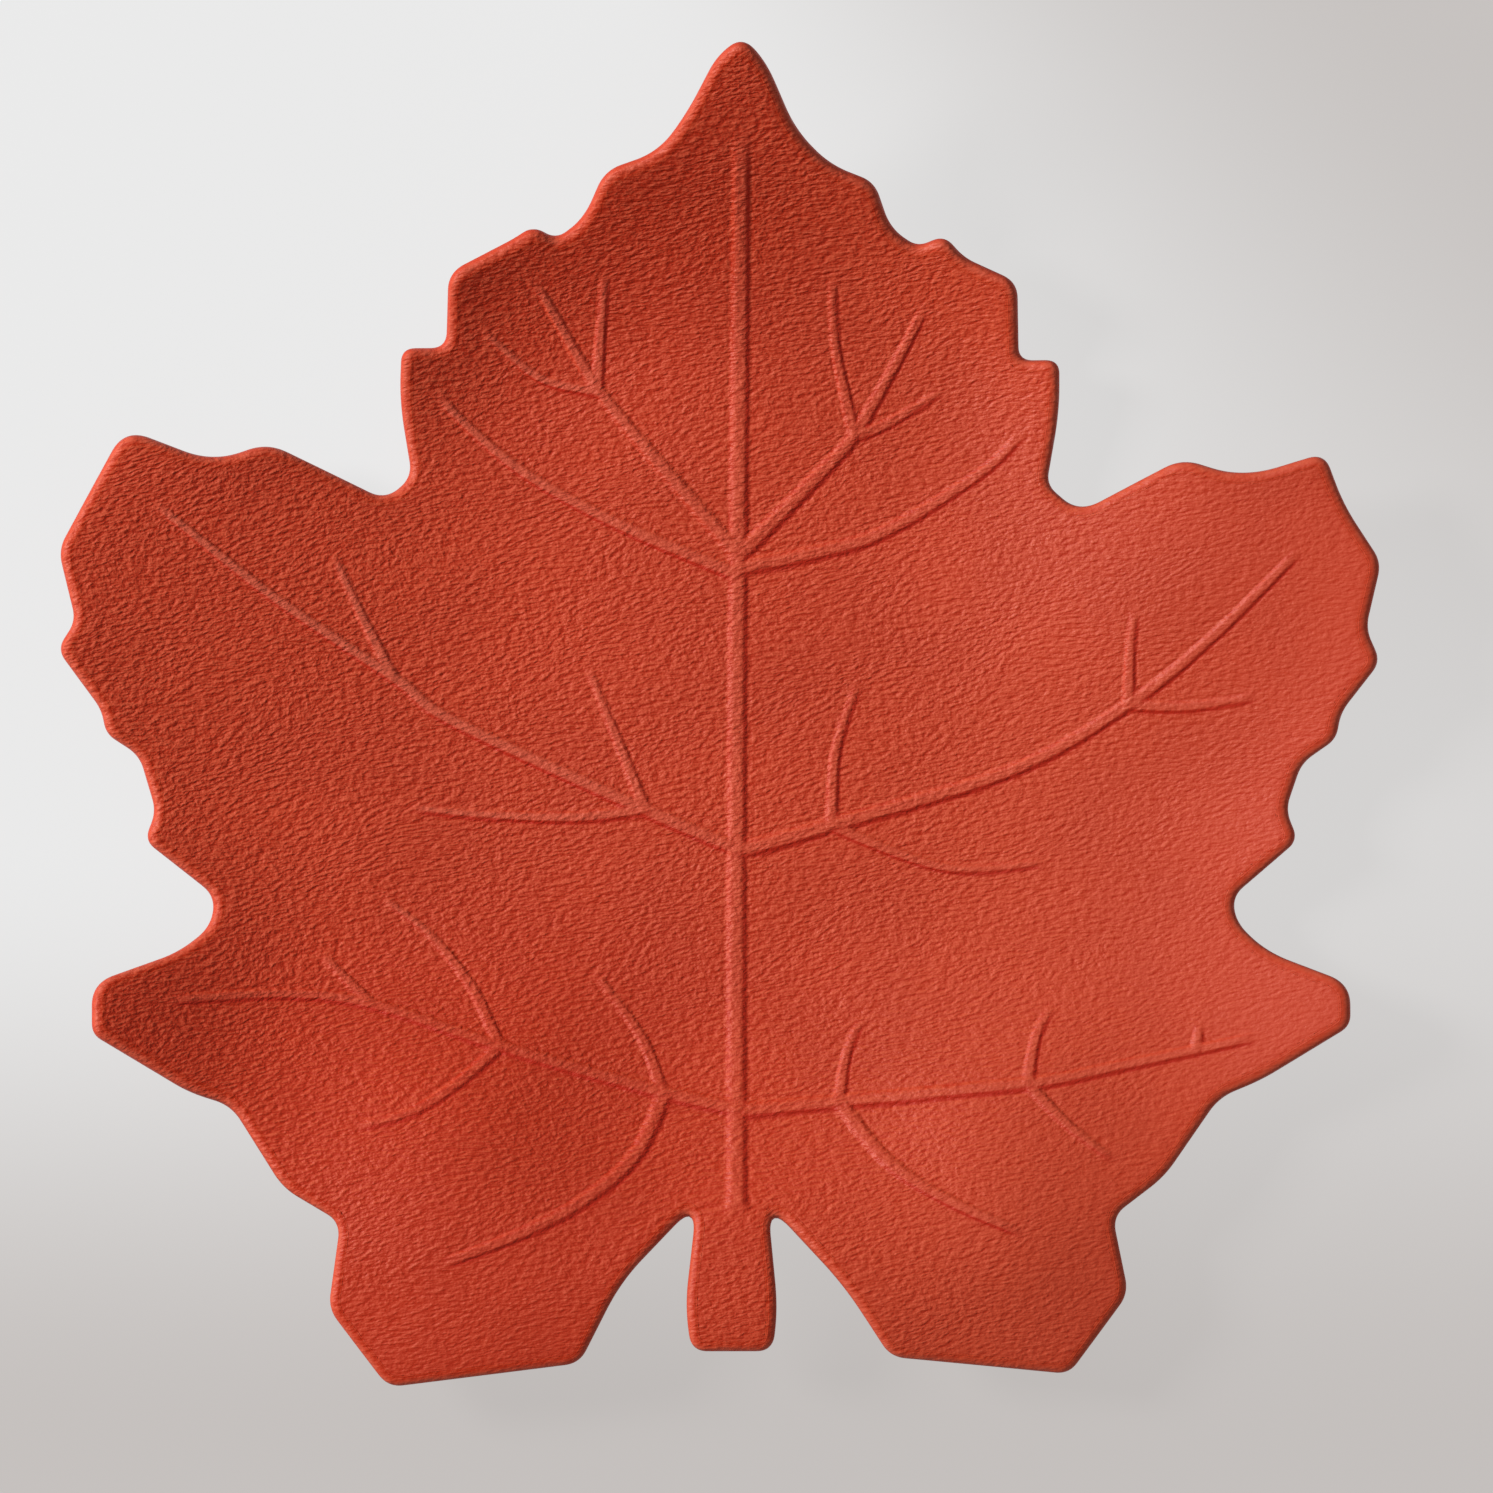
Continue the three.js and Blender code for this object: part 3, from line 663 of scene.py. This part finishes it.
def face_leather():
    """The face's leather, satin and uneven in sheen, with pale crests on its veins, part wear and part
    painted highlight, and painted shade on their flanks that face away from the light.
    """
    n, plain, tone = wrinkled_leather("face_leather")
    crest_highlight_and_wear_tone, shaded_flank_tone = colour(0.6, 0.105, 0.055), colour(0.44, 0.014, 0.001)
    # Veins' crests mixed towards a pale tone, part wear and part painted highlight
    tone = n.mix(n.value_of("vein"), tone, crest_highlight_and_wear_tone)
    # Painted shade: the veins' flanks that face away from the light turn a deep red
    n.shade("Base Color", n.mix(n.value_of("far_flank_shade"), tone, shaded_flank_tone))
    n.shade("Roughness", n.spread(n.noise(plain, scale=0.4, detail=3.0), 0.5, 0.6))
    n.shade("Specular IOR Level", 0.3)
    return n.material


def edge_paint():
    """The rim: leather tone and grain on top, worn paler on the turn, and plainer paint outside."""
    n, plain, tone = wrinkled_leather("edge_paint")
    worn_tone, paint_tone = colour(0.56, 0.095, 0.048), colour(0.5, 0.036, 0.008)
    patchy = n.ramp(n.noise(plain, scale=0.5, detail=3.0), 0.35, 0.7, 0.35, 0.75)
    tone = n.mix(n.math("MULTIPLY", n.value_of("turn"), patchy), tone, worn_tone)
    n.shade("Base Color", n.mix(n.value_of("on_top"), paint_tone, tone))
    n.shade("Roughness", n.spread(n.noise(plain, scale=0.6, detail=3.0), 0.46, 0.58))
    n.shade("Specular IOR Level", 0.22)
    return n.material


def lining_leather():
    """Brick-red lining with a fine matt nap."""
    n = Nodes("lining_leather")
    nap = n.noise(n.millimetres(), scale=2.6, detail=4.0, roughness=0.65)
    lengthwise = n.warped(n.millimetres((1.0, 0.25, 1.0)), scale=0.05, reach=4.0)
    brushed = n.spread(n.noise(lengthwise, scale=0.5, detail=3.0))
    tone = n.mix(brushed, colour(0.24, 0.026, 0.013), colour(0.31, 0.038, 0.02))
    napped = n.mix(nap, tone, colour(0.4, 0.06, 0.03))
    n.shade("Base Color", n.mix(0.35, tone, napped))
    n.shade("Roughness", n.spread(nap, 0.8, 0.95))
    n.shade("Specular IOR Level", 0.25)
    n.shade("Sheen Weight", 0.15)
    n.bump(nap, depth=0.12)
    return n.material


def stiffener_board():
    """Pulp board with fibres and flecks."""
    n = Nodes("stiffener_board")
    plain = n.millimetres()
    fibre = n.noise(n.warped(plain, scale=0.2, reach=3.0), scale=1.2, detail=4.0, roughness=0.6)
    fleck = n.ramp(n.noise(plain, scale=0.9, detail=1.0), 0.66, 0.74)
    tone = n.mix(n.spread(fibre), colour(0.28, 0.2, 0.12), colour(0.38, 0.28, 0.17))
    n.shade("Base Color", n.mix(fleck, tone, colour(0.16, 0.11, 0.07)))
    n.shade("Roughness", n.spread(fibre, 0.85, 0.95))
    n.bump(fibre, depth=0.1)
    return n.material


# Assembly

def grain_strength(places, rim_gap):
    """How strongly the grain stands at each place: most on the left and at the tip."""
    x, y = places.T
    to_right = 0.0035 * x + 0.008 * np.maximum(x - 35, 0)
    below = 0.003 * np.maximum(-y, 0)
    at_tip = 0.004 * np.maximum(y - 60, 0)
    bottom_left = 0.012 * np.maximum(-70 - y, 0) * smoothstep(-x / 20)
    strength = MIDDLE_GRAIN - to_right - below + at_tip - bottom_left
    return strength * (RIM_GRAIN + (1 - RIM_GRAIN) * smoothstep(rim_gap / RIM_WIDTH))


def low_left(places):
    """How far each place is towards the lower left lobes, from zero to one."""
    x, y = places.T
    below, left = smoothstep((-20 - y) / 35), smoothstep((40 - x) / 80)
    return below * left


def paleness_and_sheen(places):
    """Pale tone at each place, part real finish and part painted sheen: least low on the left and at the tip.
    """
    x, y = places.T
    tip = smoothstep((y - 40) / 40) * smoothstep((25 - x) / 40)
    right = np.interp(x, (10, 50, 100), (0, 0.1, 0))
    return PALE_FINISH_AND_SHEEN - LOW_LEFT_LOSS * low_left(places) - TIP_LOSS * tip + right


def vein_painted_shade(places):
    """Painted shade on the veins' flanks that face away from the light, from zero to one."""
    here, beside = (np.maximum(vein_relief(spots)[0], 0) for spots in (places, places + VEIN_SHADE_SHIFT))
    return np.clip(VEIN_SHADE_GAIN * (beside - here), 0, 1)


def crest_wear_and_highlight(places):
    """How pale the veins' crests are, by wear and painted highlight: most on the left, but less on the lower
    left lobes.
    """
    to_left = np.interp(places[:, 0], (-60, 10), (1, 0.3))
    return CREST_WEAR_AND_HIGHLIGHT * to_left * (1 - LOW_LEFT_CREST_LOSS * low_left(places)) * vein_relief(places)[2]


def face_places(cut):
    """The inner points of the face: rows along the veins, and a grid between them."""
    veins = vein_places()
    veins = veins[inside(veins, cut)]
    veins = veins[gap_to(cut, veins) > LEAST_STEP]
    grid = grid_inside(cut, FACE_STEP)
    grid = grid[vein_relief(grid)[1] > max(VEIN_ROWS) + GRID_GAP]
    return thinned(np.vstack([veins, grid]), LEAST_STEP)


def build_face(cut, hidden):
    """The upper leather with its veins, which dips a little under the edge's lap."""
    def height(places):
        under_lap = 1 - smoothstep(gap_to(cut, places) / EDGE_LAP)
        return SHEET_TOP + vein_relief(places)[0] - LAP_THICKNESS * under_lap

    plan, points, faces = sheet(cut, hidden, lambda p: FACE_BOTTOM, face_places(cut), height)
    face = add_piece("leaf_face", "face_leather", points, faces, face_leather())
    set_point_values(face, "grain", grain_strength(plan, gap_to(cut, plan)))
    # Pale tone, part real finish and part painted sheen
    set_point_values(face, "pale", paleness_and_sheen(plan))
    # Painted shade on the veins' flanks that face away from the light
    set_point_values(face, "far_flank_shade", vein_painted_shade(plan))
    # Veins' crests made pale, part wear and part painted highlight
    set_point_values(face, "vein", crest_wear_and_highlight(plan))


def build_edge(ring):
    """The painted edge all round, with the leather's tone on its top."""
    points, faces, high = edge_bead(ring)
    edge = add_piece("leaf_edge", "edge_paint", points, faces, edge_paint())
    on_top = smoothstep((high - TONE_START) / TONE_BLEND)
    set_point_values(edge, "on_top", on_top)
    set_point_values(edge, "turn", smoothstep((1 - high) / TURN_BLEND))
    set_point_values(edge, "grain", on_top * grain_strength(points[:, :2], 0.0))
    # Pale tone, part real finish and part painted sheen
    set_point_values(edge, "pale", paleness_and_sheen(points[:, :2]))


def build_dish():
    """The dish's four pieces, the face first."""
    ring = leaf_edge()
    cut = inset(ring, EDGE_DEPTH)
    hidden = grid_inside(cut, HIDDEN_STEP)
    build_face(cut, hidden)

    under = grid_inside(cut, LINING_STEP)
    _, points, faces = sheet(cut, under, lambda p: 0.0, hidden, lambda p: LINING_TOP)
    add_piece("leaf_lining", "lining_leather", points, faces, lining_leather())
    build_edge(ring)
    _, points, faces = sheet(cut, hidden, lambda p: BOARD_BOTTOM, hidden, lambda p: BOARD_TOP)
    add_piece("leaf_board", "stiffener_board", points, faces, stiffener_board())


# Stage

def build_floor():
    """A plain pale floor with painted shade, darker towards the bottom and the right."""
    half_width, drop, own_light = 6.0, 0.0002, 0.92
    mesh = bpy.data.meshes.new("floor")
    sides = [(-1, -1), (1, -1), (1, 1), (-1, 1)]
    corners = [(x * half_width, y * half_width, -drop) for x, y in sides]
    mesh.from_pydata(corners, [], [(0, 1, 2, 3)])
    floor = bpy.data.objects.new("floor", mesh)
    bpy.context.scene.collection.objects.link(floor)

    n = Nodes("floor")
    place = n.tree.nodes.new("ShaderNodeSeparateXYZ")
    n.put(place.inputs[0], n.add("TexCoord", {}, "Object"))
    # Painted shade: the floor darkens towards the bottom, the right and the upper right corner
    up = n.ramp(place.outputs["Y"], -0.12, -0.02)
    right = n.ramp(place.outputs["X"], -0.03, 0.12, 1.0, 0.55)
    corner = n.ramp(n.math("ADD", place.outputs["X"], place.outputs["Y"]), 0.1, 0.24, 1.0, 0.1)
    shade = n.math("MULTIPLY", n.math("MULTIPLY", up, right), corner)
    tone = n.mix(shade, colour(0.56, 0.53, 0.515), colour(0.815, 0.815, 0.815))
    n.tree.nodes.remove(n.shader)
    diffuse = n.add("BsdfDiffuse", {"Color": tone})
    glow = n.add("Emission", {"Color": tone, "Strength": 1.0})
    seen = n.math("MULTIPLY", seen_directly(n), own_light)
    both = n.add("MixShader", {0: seen, 1: diffuse, 2: glow})
    n.put(n.tree.nodes["Material Output"].inputs["Surface"], both)
    mesh.materials.append(n.material)


def seen_directly(n):
    """One for rays that show the background to the camera, also in gloss and through glass."""
    path = n.tree.nodes.new("ShaderNodeLightPath")
    shown = n.math("ADD", path.outputs["Is Camera Ray"], path.outputs["Is Glossy Ray"], clamp=True)
    return n.math("ADD", shown, path.outputs["Is Transmission Ray"], clamp=True)


def build_world():
    """Even white light from all round."""
    world = bpy.data.worlds.new("studio")
    bpy.context.scene.world = world
    world.use_nodes = True
    back = world.node_tree.nodes["Background"]
    back.inputs["Color"].default_value = colour(1, 1, 1)
    back.inputs["Strength"].default_value = 0.25


def build_key_light():
    """One soft lamp, low on the left and slightly towards the tip."""
    azimuth, elevation, distance = math.radians(162), math.radians(34), 2.0
    flat = distance * math.cos(elevation)
    lamp = bpy.data.lights.new("key", "AREA")
    lamp.size = 0.54
    lamp.energy = 55
    key = bpy.data.objects.new("key", lamp)
    key.location = (flat * math.cos(azimuth), flat * math.sin(azimuth), distance * math.sin(elevation))
    key.rotation_euler = (-key.location).to_track_quat("-Z", "Y").to_euler()
    bpy.context.scene.collection.objects.link(key)


def build_camera():
    """Straight above the dish, framed as the photograph is."""
    frame_width, frame_centre, rim_height, height = 247.6, (4.43, -5.82), 14.0, 10000.0
    lens = bpy.data.cameras.new("camera")
    lens.sensor_width = 36.0
    lens.lens = lens.sensor_width * (height - rim_height) / frame_width
    lens.clip_end = 100
    camera = bpy.data.objects.new("camera", lens)
    camera.location = (frame_centre[0] * MM, frame_centre[1] * MM, height * MM)
    bpy.context.scene.collection.objects.link(camera)
    bpy.context.scene.camera = camera


build_dish()
build_floor()
build_world()
build_key_light()
build_camera()
bpy.context.scene.view_settings.view_transform = "Standard"
